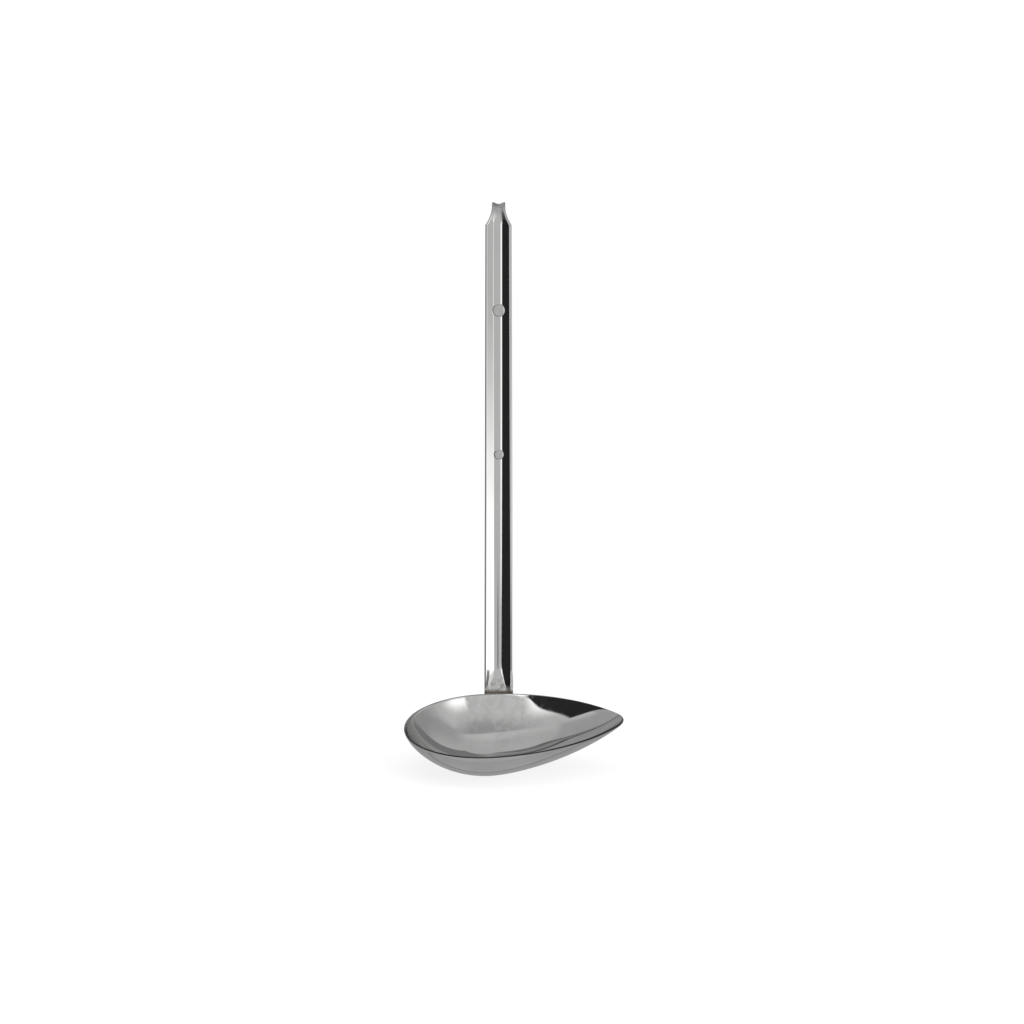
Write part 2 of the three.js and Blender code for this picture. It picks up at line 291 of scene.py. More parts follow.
def make_bowl(steel, edge_steel):
    """The pressed bowl: outer wall, rounded rim and inner wall in one closed mesh."""
    angles = rim_angles()
    turns = even(0, pi / 2, CORNER_STEPS)[1:]
    corner = [(RIM_ROUND * (1 - cos(t)), RIM_ROUND * sin(t)) for t in turns]
    profile = corner + [(BOWL_SHEET - inset, lift) for inset, lift in reversed(corner)]
    rises = even(0, pi / 2, WALL_STEPS)[1:]
    walls = [[(wall_point(a, rise), wall_normal(a, rise)) for a in angles] for rise in rises]
    rings = [[place for place, _ in wall] for wall in walls]
    for inset, lift in profile:
        rings.append([place - inset * normal + Vector((0, 0, lift)) for place, normal in walls[-1]])
    rings += [[place - BOWL_SHEET * normal for place, normal in wall] for wall in reversed(walls)]
    places = [OUT_OF_BOWL @ place for ring in rings for place in ring]
    count = len(angles)
    faces = ring_faces(len(rings), count)
    rim_from, rim_to = (WALL_STEPS - 1 - RIM_BANDS) * count, (WALL_STEPS + len(profile)) * count
    last = len(places) - count
    for start, depth, turn_over in ((0, BOWL_DEPTH, False), (last, BOWL_DEPTH - BOWL_SHEET, True)):
        places.append(OUT_OF_BOWL @ Vector((0, 0, -depth)))
        middle = len(places) - 1
        for i in range(count):
            a, b = start + i, start + (i + 1) % count
            faces.append((a, b, middle) if turn_over else (b, a, middle))
    return mesh_piece(
        "bowl_shell",
        places,
        faces,
        [steel, edge_steel],
        "bowl",
        material_of=lambda i: 1 if rim_from <= i < rim_to else 0,
    )


def wall_y(x, z):
    """Place of the bowl's outer wall behind the bowl, in the ladle's frame."""
    within, beyond = BOWL_PLACE.y, BACK_Y + BOWL_DEPTH
    for _ in range(WALL_HALVINGS):
        y = (within + beyond) / 2
        at = INTO_BOWL @ Vector((x, y, z))
        angle = atan2(at.y, at.x)
        level = min(max(-at.z / BOWL_DEPTH, 0), 1)
        share = sqrt(1 - level ** (2 / wall_power(angle)))
        if hypot(at.x, at.y) < wall_reach(angle, share):
            within = y
        else:
            beyond = y
    return within


# Handle


def hinge(value, blend):
    """0 below 0 and the value above it, rounded over the blend on both sides."""
    if value <= -blend:
        return 0.0
    if value >= blend:
        return value
    return (value + blend) ** 2 / (4 * blend)


def flank_slope(start, end, depth):
    """Slope of the flank that climbs to the lip between two offsets from the hollow's middle."""
    return (depth - VALLEY_SLOPE * start / 2) / (end - start)


def channel_lift(x, start, end, slope, blend=VALLEY_BLEND, shift=CHANNEL_SHIFT):
    """Height of the strip's front above the valley's middle: a shallow arc, a flank and a flat lip."""
    offset = abs(x + shift)
    arc = VALLEY_SLOPE * min(offset, start) ** 2 / (2 * start) + VALLEY_SLOPE * max(offset - start, 0)
    flank = (slope - VALLEY_SLOPE) * hinge(offset - start, blend)
    return arc + flank - slope * hinge(offset - end, LIP_BLEND)


def across(width, shrink=0.0):
    """Offsets across the strip's front from left to right, each with its inset at the rounded edges."""
    flat = width / 2 - EDGE_ROUND
    edge = []
    for t in even(0, pi / 2, CORNER_STEPS):
        inset = EDGE_ROUND * (1 - sin(t)) + shrink * sin(t)
        edge.append((flat + (EDGE_ROUND - shrink) * cos(t), inset))
    face = [(x, shrink) for x in even(-flat, flat, FACE_STEPS)][1:-1]
    left = [(-x, inset) for x, inset in edge]
    return left + face + edge[::-1]


def strip_ring(width, front, into, shrink=0.0):
    """Ring of the strip: its front from left to right, then its back from right to left."""
    row = across(width, shrink)
    face = [front(x) + inset * into for x, inset in row]
    back = [front(x) + (HANDLE_SHEET - inset) * into for x, inset in row]
    return face + back[::-1]


def front_y(x, z):
    """Front of the handle near the rim, where the hollow flattens and the strip turns onto the wall."""
    hollow = smooth((z - RIM_Z + FADE_BELOW) / (FADE_ABOVE + FADE_BELOW))
    start = VALLEY_WIDTH / 2 * (1 + FADE_WIDENING * (1 - hollow))
    end = FOOT_WIDTH / 2 - LIP_WIDTH
    blend = lerp(FADE_BLEND, VALLEY_BLEND, hollow)
    lift = channel_lift(x, start, end, flank_slope(start, end, CHANNEL_DEPTH), blend)
    seated = wall_y(x, min(z, RIM_Z)) + TONGUE_GAP
    return lerp(seated, VALLEY_Y - lift, hollow)


def tongue_rings():
    """Rings from the strip's rounded lower end up to where the full hollow starts."""
    stations = []
    for turn in even(TONGUE_FIRST_TURN, pi / 2, TONGUE_END_STEPS)[:-1]:
        width = FOOT_WIDTH - 2 * TONGUE_CORNER * (1 - sin(turn))
        stations.append((TONGUE_END + TONGUE_CORNER * (1 - cos(turn)), width))
    heights = even(TONGUE_END + TONGUE_CORNER, TONGUE_TOP, TONGUE_STEPS)[:-1]
    stations += [(z, FOOT_WIDTH) for z in heights]
    rings = []
    for i, (z, width) in enumerate(stations):
        slope = (front_y(0, z + PROBE) - front_y(0, z - PROBE)) / (2 * PROBE)
        into = Vector((0, 1, -slope)).normalized()
        shrink = END_INSET if i == 0 else 0.0
        rings.append(strip_ring(width, lambda x: Vector((x, front_y(x, z), z)), into, shrink))
    return rings


def pad_lift(x, z, lift):
    """Height of the front where a round pad stands in the hollow."""
    for radius, height, drop in PADS:
        distance = hypot(x, z + drop)
        lift = lerp(lift, height, smooth((radius + PAD_EDGE / 2 - distance) / PAD_EDGE))
    return lift


def straight_heights():
    """Heights of the rings along the straight length, close together at the pads."""
    stops = [TONGUE_TOP]
    for radius, _, drop in reversed(PADS):
        stops += [-drop - radius - PAD_EDGE, -drop + radius + PAD_EDGE]
    stops += [SHOULDER_Z - SHOULDER_LEAD, SHOULDER_Z]
    heights = []
    for i in range(len(stops) - 1):
        step = PAD_STEP if i % 2 else PLAIN_STEP
        heights += even(stops[i], stops[i + 1], ceil((stops[i + 1] - stops[i]) / step))[:-1]
    return heights


def straight_rings():
    """Rings along the straight length. The pads lift its front alone."""
    rings = []
    for z in straight_heights():
        width = lerp(FOOT_WIDTH, TOP_WIDTH, (z - TONGUE_TOP) / (SHOULDER_Z - TONGUE_TOP))
        start, end = VALLEY_WIDTH / 2, width / 2 - LIP_WIDTH
        slope = flank_slope(start, end, CHANNEL_DEPTH)
        face, back = [], []
        for x, inset in across(width):
            lift = channel_lift(x, start, end, slope)
            face.append(Vector((x, VALLEY_Y - pad_lift(x, z, lift) + inset, z)))
            back.append(Vector((x, VALLEY_Y - lift + HANDLE_SHEET - inset, z)))
        rings.append(face + back[::-1])
    return rings


def hook_path():
    """Places of the valley's back from the shoulder over the hook, with the way that the front looks."""
    ahead = Vector((0, -1, 0))
    path = [(Vector((0, BACK_Y, SHOULDER_Z)), ahead)]
    for centre_y, start in ((-HOOK_RUN / 2, 0), (HOOK_RUN / 2, pi / 2)):
        for turn in even(start, start + pi / 2, HOOK_STEPS):
            looks = Vector((0, -cos(turn), sin(turn)))
            path.append((Vector((0, centre_y, -HOOK_RADIUS)) + HOOK_RADIUS * looks, looks))
    behind = Vector((0, 1, 0))
    tail = even(-HOOK_RADIUS, -HOOK_RADIUS - TAIL_LENGTH, TAIL_STEPS)[1:]
    path += [(Vector((0, -BACK_Y, z)), behind) for z in tail]
    return path


def hook_rings():
    """Rings of the shoulder, neck and hook. The shoulder trims the strip before the hollow narrows."""
    path = hook_path()
    full_slope = flank_slope(VALLEY_WIDTH / 2, TOP_WIDTH / 2 - LIP_WIDTH, CHANNEL_DEPTH)
    neck_slope = flank_slope(NECK_VALLEY / 2, NECK_WIDTH / 2 - NECK_LIP, NECK_DEPTH)
    run = 0.0
    last = path[0][0]
    rings = []
    for i, (place, looks) in enumerate(path):
        run += (place - last).length
        last = place
        wide = (1 - min(run / SHOULDER_LENGTH, 1)) ** SHOULDER_POWER
        neck = smooth(run / SHOULDER_LENGTH)
        width = lerp(NECK_WIDTH, TOP_WIDTH, wide)
        start = lerp(VALLEY_WIDTH, NECK_VALLEY, neck) / 2
        end = width / 2 - lerp(NECK_LIP, LIP_WIDTH, wide)
        slope = lerp(full_slope, neck_slope, neck)
        blend = lerp(VALLEY_BLEND, NECK_BLEND, neck)
        shift = lerp(CHANNEL_SHIFT, 0, neck)

        def front(x):
            lift = HANDLE_SHEET + channel_lift(x, start, end, slope, blend, shift)
            return Vector((x, 0, 0)) + place + lift * looks

        shrink = END_INSET if i == len(path) - 1 else 0.0
        rings.append(strip_ring(width, front, -looks, shrink))
    return rings


def make_handle(steel):
    """The channelled strip with its tongue, pads, neck and hook. The bowl doesn't mirror it."""
    rings = tongue_rings() + straight_rings() + hook_rings()
    count = len(rings[0])
    faces = ring_faces(len(rings), count)
    last = (len(rings) - 1) * count
    for i in range(count // 2 - 1):
        corners = (i, i + 1, count - 2 - i, count - 1 - i)
        faces.append(corners[::-1])
        faces.append(tuple(last + c for c in corners))
    places = [place for ring in rings for place in ring]
    strip = mesh_piece("handle_strip", places, faces, [steel], "handle")
    strip.visible_glossy = False
    return strip


# Welds


def wall_frame(x, z):
    """Place on the bowl's wall behind the bowl, and the way out of it."""
    slope_x = (wall_y(x + PROBE, z) - wall_y(x - PROBE, z)) / (2 * PROBE)
    slope_z = (wall_y(x, z + PROBE) - wall_y(x, z - PROBE)) / (2 * PROBE)
    return Vector((x, wall_y(x, z), z)), Vector((-slope_x, 1, -slope_z)).normalized()


def seam_path():
    """Offsets and heights along the weld bead, from the rim round the strip's lower end to the rim."""
    stand = SEAM_RADIUS + WELD_GAP
    half = FOOT_WIDTH / 2 + stand
    centre_x = FOOT_WIDTH / 2 - TONGUE_CORNER
    centre_z = TONGUE_END + TONGUE_CORNER
    reach = TONGUE_CORNER + stand
    left = [(-half, z) for z in even(RIM_Z - SEAM_TOP, centre_z, SEAM_STEPS)[:-1]]
    turns = even(0, pi / 2, SEAM_CORNER_STEPS)
    corner = [(centre_x + reach * sin(t), centre_z - reach * cos(t)) for t in turns]
    bottom = [(x, centre_z - reach) for x in even(-centre_x, centre_x, SEAM_STEPS)[1:-1]]
    right = [(-x, z) for x, z in left[::-1]]
    return left + [(-x, z) for x, z in corner[::-1]] + bottom + corner + right


def make_seam(steel):
    """The rippled weld bead round the strip's lower end."""
    frames = [wall_frame(x, z) for x, z in seam_path()]
    runs = [0.0]
    for (a, _), (b, _) in zip(frames, frames[1:]):
        runs.append(runs[-1] + (b - a).length)
    rings = []
    for i, (foot, out) in enumerate(frames):
        ahead = frames[min(i + 1, len(frames) - 1)][0] - frames[max(i - 1, 0)][0]
        aside = ahead.cross(out).normalized()
        end = min(runs[i], runs[-1] - runs[i]) / SEAM_TAPER
        taper = sqrt(min(max(end, SEAM_POINT) * (2 - min(end, 1)), 1))
        wave = 1 + SEAM_RIPPLE * (abs(sin(pi * runs[i] / SEAM_PITCH)) - 0.5)
        radius = (SEAM_RADIUS + WELD_GAP) * taper * wave
        centre = foot + SEAM_RADIUS * SEAM_STAND * out
        turns = even(0, 2 * pi, SEAM_SIDES)[:-1]
        rings.append([centre + radius * (cos(t) * aside + SEAM_HEIGHT * sin(t) * out) for t in turns])
    places = [place for ring in rings for place in ring]
    faces = ring_faces(len(rings), SEAM_SIDES)
    last = (len(rings) - 1) * SEAM_SIDES
    faces.append(tuple(range(SEAM_SIDES))[::-1])
    faces.append(tuple(last + i for i in range(SEAM_SIDES)))
    return mesh_piece("weld_bead", places, faces, [steel], "weld_seam")


def make_rim_weld(steel):
    """The weld that fills the hollow between the rim and the handle's front, with a sagging top."""
    low = RIM_Z - RIM_WELD_DEPTH
    rings = []
    for x in even(-RIM_WELD_LENGTH / 2, RIM_WELD_LENGTH / 2, RIM_WELD_STEPS):
        near, far = wall_y(x, RIM_Z), front_y(x, RIM_Z + RIM_WELD_CLIMB)
        wave = RIM_WELD_RIPPLE * sin(2 * pi * x / RIM_WELD_PITCH)
        top = []
        for t in even(0, 1, RIM_WELD_TOP_STEPS):
            z = RIM_Z + RIM_WELD_CLIMB * t * t - RIM_WELD_SAG * sin(pi * t) + wave * sin(pi * t)
            top.append(Vector((x, lerp(near, far, t), z)))
        rings.append([Vector((x, front_y(x, low), low)), Vector((x, wall_y(x, low), low))] + top)
    count = len(rings[0])
    places = [place for ring in rings for place in ring]
    faces = [face[::-1] for face in ring_faces(len(rings), count)]
    last = RIM_WELD_STEPS * count
    faces.append(tuple(range(count)))
    faces.append(tuple(last + i for i in range(count))[::-1])
    return mesh_piece("foot_weld", places, faces, [steel], "rim_weld")


# Node trees


def add_node(tree, kind, inputs=None, **settings):
    """A node with its settings, and its inputs linked to sockets or set to values."""
    made = tree.nodes.new(kind)
    for key, value in settings.items():
        setattr(made, key, value)
    for key, value in (inputs or {}).items():
        if isinstance(value, bpy.types.NodeSocket):
            tree.links.new(value, made.inputs[key])
        else:
            made.inputs[key].default_value = value
    return made


def maths(tree, operation, *values):
    return add_node(tree, "ShaderNodeMath", dict(enumerate(values)), operation=operation).outputs[0]


def split(tree, vector):
    """The X, Y and Z of a vector."""
    return add_node(tree, "ShaderNodeSeparateXYZ", {"Vector": vector}).outputs


def rise_between(tree, value, low, high, bottom=0.0, top=1.0):
    """A smooth step from bottom, where the value is low, to top, where it is high."""
    inputs = {"Value": value, "From Min": low, "From Max": high, "To Min": bottom, "To Max": top}
    made = add_node(tree, "ShaderNodeMapRange", inputs, interpolation_type="SMOOTHSTEP")
    return made.outputs["Result"]


def fall_between(tree, value, low, high, top=1.0):
    """A smooth step from top, where the value is low, to 0, where it is high."""
    return rise_between(tree, value, low, high, top, 0.0)


def band(tree, value, low, high, soft_low, soft_high):
    """1 between two values and 0 outside them, with soft edges."""
    start = rise_between(tree, value, low - soft_low, low + soft_low)
    end = fall_between(tree, value, high - soft_high, high + soft_high)
    return maths(tree, "MULTIPLY", start, end)


def noise(tree, coordinates, scale, detail, stretch=(1, 1, 1)):
    """Noise over the object's coordinates, with the scale per metre, stretched along its axes."""
    mapped = add_node(tree, "ShaderNodeMapping", {"Vector": coordinates, "Scale": stretch})
    inputs = {"Vector": mapped.outputs["Vector"], "Scale": scale, "Detail": detail}
    return add_node(tree, "ShaderNodeTexNoise", inputs).outputs["Fac"]


def mix_colours(tree, share, first, second):
    """The first colour where the share is 0 and the second where it is 1, each a socket or a colour."""
    mixed = tree.nodes.new("ShaderNodeMix")
    mixed.data_type = "RGBA"
    # A mix node has its factor and its two colours in these sockets, among those of its other types
    factor, colour_a, colour_b = mixed.inputs[0], mixed.inputs[6], mixed.inputs[7]
    for value, socket in ((share, factor), (first, colour_a), (second, colour_b)):
        if isinstance(value, bpy.types.NodeSocket):
            tree.links.new(value, socket)
        else:
            socket.default_value = (*value, 1)
    return mixed.outputs[2]


def bump(tree, height, distance):
    """Normal of a surface that a height of 1 lifts by the distance."""
    inputs = {"Height": height, "Distance": distance * MM, "Strength": 1.0}
    return add_node(tree, "ShaderNodeBump", inputs).outputs["Normal"]


# Materials. A noise is its scale per metre, its detail and, where it is uneven, its stretch along the axes.
# A range of a noise gives the values at which its effect starts and is whole. A pair of colours is the dark
# and the light one, and a pair of roughnesses the least and the most.

BOWL_COLOURS = ((0.54, 0.54, 0.535), (0.6, 0.6, 0.595))
BOWL_ROUGHNESS = (0.015, 0.06)
BOWL_HAZE = (70, 4.0)
BOWL_HAZE_COLOUR_RANGE = (0.3, 0.7)
BOWL_HAZE_ROUGHNESS_RANGE = (0.35, 0.75)
BOWL_LINES = (900, 2.0, (1, 0.12, 0.3))
BOWL_LINE_RANGE = (0.5, 0.8)
BOWL_LINE_ROUGHNESS = 0.03  # added by the polishing lines
BOWL_DENTS = (45, 1.0)
BOWL_DENT_HEIGHT = 0.04
HEAT_MOTTLE = (260, 3.0)
HEAT_MOTTLE_RANGE = (0.4, 0.65)
HEAT_REACH = (6, 30)  # the heat's patches fade between these distances from the weld's middle
HEAT_OFFSET = 4  # the weld's middle is taken this far in front of the lips, and below the rim
HEAT_COLOUR = (0.68, 0.68, 0.675)
HEAT_SHARE = 0.7  # of the heat's colour in its patches
HEAT_ROUGHNESS = 0.2

# Rim colours: the dark one is painted shade over the front of the rim; the grinding's grain is the edge's
# own
RIM_SHADE_COLOURS = ((0.04, 0.0395, 0.039), (0.5, 0.495, 0.49))
RIM_SHADE_FADE = (-56, -42)  # painted shade on the rim fades out between these places, from front to back
RIM_SHADE_FADE_SHARE = 0.75
RIM_ROUGHNESS = (0.14, 0.3)
RIM_GRIND = (1500, 3.0)
RIM_GRIND_RANGE = (0.2, 0.8)
RIM_GRIND_SHARE = 0.1  # of the light colour, added by the grinding
RIM_GRIND_HEIGHT = 0.02

STRIP_COLOURS = ((0.55, 0.55, 0.545), (0.6, 0.6, 0.595))
STRIP_HAZE = (60, 3.0)
STRIP_ROUGHNESS = (0.04, 0.09)
STRIP_LINES = (1600, 2.0, (1, 1, 0.02))
STRIP_LINE_RANGE = (0.4, 0.8)
STRIP_DENTS = (40, 1.0)
STRIP_DENT_SHARE = 0.6  # height of the dents as a share of the pads' grain
PAD_ROUGHNESS = (0.38, 0.5)
PAD_GRAIN = (4000, 2.0)
PAD_GRAIN_RANGE = (0.3, 0.7)
PAD_GRAIN_HEIGHT = 0.03
PAD_SKIN = 0.2  # run over which the pads' matte skin ends
NECK_MATTE = (1.6, 2.8)  # the neck turns matte between these heights above the shoulder
NECK_ROUGHNESS = 0.3  # added there

# Marks of heat on the strip, each of which fades between two heights above the rim
FOOT_MOTTLE = (500, 3.0)
TINT_HEIGHT = (0.6, 2.0)
TINT_COLOURS = ((0.12, 0.1, 0.08), (0.24, 0.21, 0.18))
TINT_ROUGHNESS = 0.15  # added by the tint
TINT_FACING = (-0.4, 0.0)  # the tint ends as the surface's normal turns away from the front
WARM_HEIGHT = (-1, 3)
WARM_COLOUR = (0.45, 0.36, 0.27)
WARM_SHARE = 0.6
DULL_HEIGHT = (2.3, 5.0)
DULL_ROUGHNESS = 0.6  # added where it is mottled
STAIN_HEIGHT = (2, 9)
STAIN_RANGE = (0.42, 0.62)
STAIN_COLOUR = (0.34, 0.335, 0.33)

BEAD_COLOURS = ((0.3, 0.28, 0.26), (0.48, 0.46, 0.44))
BEAD_ROUGHNESS = (0.22, 0.42)
FOOT_WELD_COLOURS = ((0.1, 0.08, 0.065), (0.25, 0.215, 0.185))
FOOT_WELD_ROUGHNESS = (0.25, 0.45)
WELD_MOTTLE = (1100, 4.0)
WELD_COLOUR_RANGE = (0.3, 0.7)
WELD_ROUGHNESS_RANGE = (0.2, 0.8)
WELD_SKIN_HEIGHT = 0.08


def new_material(name):
    """A metal with its node tree, its shader and its object coordinates."""
    material = bpy.data.materials.new(name)
    material.use_nodes = True
    tree = material.node_tree
    shader = tree.nodes["Principled BSDF"]
    shader.inputs["Metallic"].default_value = 1.0
    coordinates = add_node(tree, "ShaderNodeTexCoord").outputs["Object"]
    return material, tree, shader, coordinates


def bowl_steel():
    """Mirror-polished pressed sheet: buffing haze, polishing lines, and dull patches beside the weld."""
    material, tree, shader, at = new_material("bowl_steel")
    haze = noise(tree, at, *BOWL_HAZE)
    lines = noise(tree, at, *BOWL_LINES)
    mottle = noise(tree, at, *HEAT_MOTTLE)
    dents = noise(tree, at, *BOWL_DENTS)
    weld = (0, (LIP_Y - HEAT_OFFSET) * MM, (RIM_Z - HEAT_OFFSET) * MM)
    distance = add_node(tree, "ShaderNodeVectorMath", {0: at, 1: weld}, operation="DISTANCE")
    heat = fall_between(tree, distance.outputs["Value"], *(reach * MM for reach in HEAT_REACH))
    patches = maths(tree, "MULTIPLY", heat, rise_between(tree, mottle, *HEAT_MOTTLE_RANGE))
    gloss = rise_between(tree, haze, *BOWL_HAZE_ROUGHNESS_RANGE, *BOWL_ROUGHNESS)
    streaks = rise_between(tree, lines, *BOWL_LINE_RANGE, 0.0, BOWL_LINE_ROUGHNESS)
    rough = maths(tree, "MULTIPLY_ADD", patches, HEAT_ROUGHNESS, maths(tree, "ADD", gloss, streaks))
    colour = mix_colours(tree, rise_between(tree, haze, *BOWL_HAZE_COLOUR_RANGE), *BOWL_COLOURS)
    colour = mix_colours(tree, maths(tree, "MULTIPLY", patches, HEAT_SHARE), colour, HEAT_COLOUR)
    tree.links.new(colour, shader.inputs["Base Color"])
    tree.links.new(rough, shader.inputs["Roughness"])
    tree.links.new(bump(tree, dents, BOWL_DENT_HEIGHT), shader.inputs["Normal"])
    return material


def rim_steel():
    """The bowl's cut edge, ground, with painted shade that makes it darkest at the front and lighter
    towards the back.
    """
    material, tree, shader, at = new_material("rim_steel")
    grind = noise(tree, at, *RIM_GRIND)
    front, back = (place * MM for place in RIM_SHADE_FADE)
    # Painted shade: the rim's colour is darkest at the front and lightens towards the back
    behind = rise_between(tree, split(tree, at)["Y"], front, back, 0.0, RIM_SHADE_FADE_SHARE)
    share = maths(tree, "MULTIPLY_ADD", grind, RIM_GRIND_SHARE, behind)
    rough = rise_between(tree, grind, *RIM_GRIND_RANGE, *RIM_ROUGHNESS)
    tree.links.new(mix_colours(tree, share, *RIM_SHADE_COLOURS), shader.inputs["Base Color"])
    tree.links.new(rough, shader.inputs["Roughness"])
    tree.links.new(bump(tree, grind, RIM_GRIND_HEIGHT), shader.inputs["Normal"])
    return material


def pad_mask(tree, place):
    """1 on the front of the round pads and 0 elsewhere."""
    front = fall_between(tree, place["Y"], (VALLEY_Y - PAD_SKIN) * MM, VALLEY_Y * MM)
    mask = 0.0
    for radius, _, drop in PADS:
        centre = maths(tree, "ADD", place["Z"], drop * MM)
        squares = [maths(tree, "MULTIPLY", value, value) for value in (place["X"], centre)]
        distance = maths(tree, "SQRT", maths(tree, "ADD", *squares))
        disc = fall_between(tree, distance, radius * MM, (radius + PAD_SKIN) * MM)
        mask = maths(tree, "MAXIMUM", mask, maths(tree, "MULTIPLY", disc, front))
    return mask


def handle_steel():
    """Mirror-polished strip with lengthwise lines, matte pads and neck, and marks of heat at its foot."""
    material, tree, shader, at = new_material("handle_steel")
    lines = noise(tree, at, *STRIP_LINES)
    haze = noise(tree, at, *STRIP_HAZE)
    mottle = noise(tree, at, *FOOT_MOTTLE)
    grain = noise(tree, at, *PAD_GRAIN)
    dents = noise(tree, at, *STRIP_DENTS)
    place = split(tree, at)
    pads = pad_mask(tree, place)

    def near_rim(heights, top=1.0):
        low, high = ((RIM_Z + height) * MM for height in heights)
        return fall_between(tree, place["Z"], low, high, top)

    looks_back = split(tree, add_node(tree, "ShaderNodeNewGeometry").outputs["Normal"])["Y"]
    tinted = maths(tree, "MULTIPLY", near_rim(TINT_HEIGHT), fall_between(tree, looks_back, *TINT_FACING))
    stain = maths(tree, "MULTIPLY", near_rim(STAIN_HEIGHT), rise_between(tree, mottle, *STAIN_RANGE))
    warm = maths(tree, "MULTIPLY", near_rim(WARM_HEIGHT, WARM_SHARE), mottle)
    colour = mix_colours(tree, haze, *STRIP_COLOURS)
    colour = mix_colours(tree, stain, colour, STAIN_COLOUR)
    colour = mix_colours(tree, warm, colour, WARM_COLOUR)
    colour = mix_colours(tree, tinted, colour, mix_colours(tree, haze, *TINT_COLOURS))
    tree.links.new(colour, shader.inputs["Base Color"])

    polish = rise_between(tree, lines, *STRIP_LINE_RANGE, *STRIP_ROUGHNESS)
    matte = rise_between(tree, grain, *PAD_GRAIN_RANGE, *PAD_ROUGHNESS)
    dull = maths(tree, "MULTIPLY", near_rim(DULL_HEIGHT), mottle)
    neck_low, neck_high = ((SHOULDER_Z + height) * MM for height in NECK_MATTE)
    neck = rise_between(tree, place["Z"], neck_low, neck_high, 0.0, NECK_ROUGHNESS)
    rough = maths(tree, "MULTIPLY_ADD", pads, maths(tree, "SUBTRACT", matte, polish), polish)
    rough = maths(tree, "MULTIPLY_ADD", tinted, TINT_ROUGHNESS, rough)
    rough = maths(tree, "MULTIPLY_ADD", dull, DULL_ROUGHNESS, rough)
    tree.links.new(maths(tree, "ADD", rough, neck), shader.inputs["Roughness"])

    grit = maths(tree, "MULTIPLY", pads, grain)
    height = maths(tree, "MULTIPLY_ADD", dents, STRIP_DENT_SHARE, grit)
    tree.links.new(bump(tree, height, PAD_GRAIN_HEIGHT), shader.inputs["Normal"])
    return material


def weld_steel(name, colours, roughness):
    """Weld metal with a mottled heat tint and a rough skin."""
    material, tree, shader, at = new_material(name)
    mottle = noise(tree, at, *WELD_MOTTLE)
    colour = mix_colours(tree, rise_between(tree, mottle, *WELD_COLOUR_RANGE), *colours)
    rough = rise_between(tree, mottle, *WELD_ROUGHNESS_RANGE, *roughness)
    tree.links.new(colour, shader.inputs["Base Color"])
    tree.links.new(rough, shader.inputs["Roughness"])
    tree.links.new(bump(tree, mottle, WELD_SKIN_HEIGHT), shader.inputs["Normal"])
    return material


# Studio that the steel mirrors, by direction in degrees: azimuth 0 is the camera's side and grows to the
# camera's right. A range is two ends, and a soft range also the half widths of its two soft edges.
# Where a layer has two levels, they are those at the ends of the range before them.

CEILING_RANGE, CEILING_LEVELS = (56, 80), (0.7, 0.46)  # by elevation
LIT_RANGE, LIT_LEVELS = (-14, 0), (0.62, 0.74)  # back half of the ceiling, by lean
LIT_EDGE = 2.3  # lean of the lit half's edge in its middle
LIT_EDGE_SHIFT = 0.08  # share by which that middle lies on the left
LIT_EDGE_CURVE = 32.0
LIT_EDGE_SOFT = 1.0  # half width of the edge's softness in its middle
LIT_EDGE_SOFTENING = 14.0  # and what the square of the share aside adds to it

FRONT_SIDES = (55, 95)
FRONT_HEIGHT = (-60, 58, 20, 8)
FRONT_LEVEL = 0.74
BACK_SIDES = (70, 105)
BACK_HEIGHT = (-12, 58.5, 6, 1.5)
BACK_RANGE, BACK_LEVELS = (-0.4, -0.1), (0.51, 0.44)  # by the share to the right
RIGHT_WALL_SIDES = (88, 170, 8, 8)
RIGHT_WALL_HEIGHT = (38, 68, 6, 8)
RIGHT_WALL_RANGE, RIGHT_WALL_LEVELS = (100, 150), (0.49, 0.62)  # by azimuth

# Dark shelf on the back wall, on the right: its upper edge slopes down from the corner to the side
SHELF_CORNER = 155.0
SHELF_TOP = 58.0
SHELF_SLOPE = 0.95
SHELF_BODY = (-70, 0, 5, 0.8)  # heights here are those above its upper edge
SHELF_RANGE, SHELF_LEVELS = (-31, -25), (0.2, 0.27)
SHELF_STRIPE = (-23.5, -19.5, 1.5, 1.5)
SHELF_STRIPE_LEVEL = 0.43
SHELF_END = (120, 130)
SHELF_SIDE = (-0.08, 0.08)  # by the share to the right

# Frame on the back wall, on the left: two dark lines with a rounded corner, one inside the other.
# Each has its side, its top, its corner's radius, its own level and the level inside it.
FRAMES = ((123.0, 58.3, 15.0, 0.18, 0.35), (127.0, 53.0, 8.0, 0.12, 0.43))
FRAME_LINE = 1.0  # half width
FRAME_SOFT = 0.6
FRAME_SIDE = (-0.25, -0.03)  # by the share to the right
FRAME_FOOT = (10, 25)

FLOOR_EDGE = (-40, -14)
FLOOR_RANGE, FLOOR_LEVELS = (-80, -30), (0.57, 0.68)  # by elevation
FAR_FLOOR_SIDES = (80, 110)
FAR_FLOOR_LEVEL = 0.51
FLOOR_LINES = (-33.0, -47.0, -58.0)  # darker lines on the floor all round
FLOOR_LINE_HALF = 1.0
FLOOR_LINE_SOFT = 1.2
FLOOR_LINE_LEVEL = 0.47
FAR_LINE_SIDES = (110, 130)
FAR_LINE_HEIGHT = (-46, -41, 1, 1)
FAR_LINE_LEVEL = 0.36
SKIRTING_SIDES = (95, 140)
SKIRTING_HEIGHT = (-40, 2, 8, 4)
SKIRTING_LEVEL = 0.4

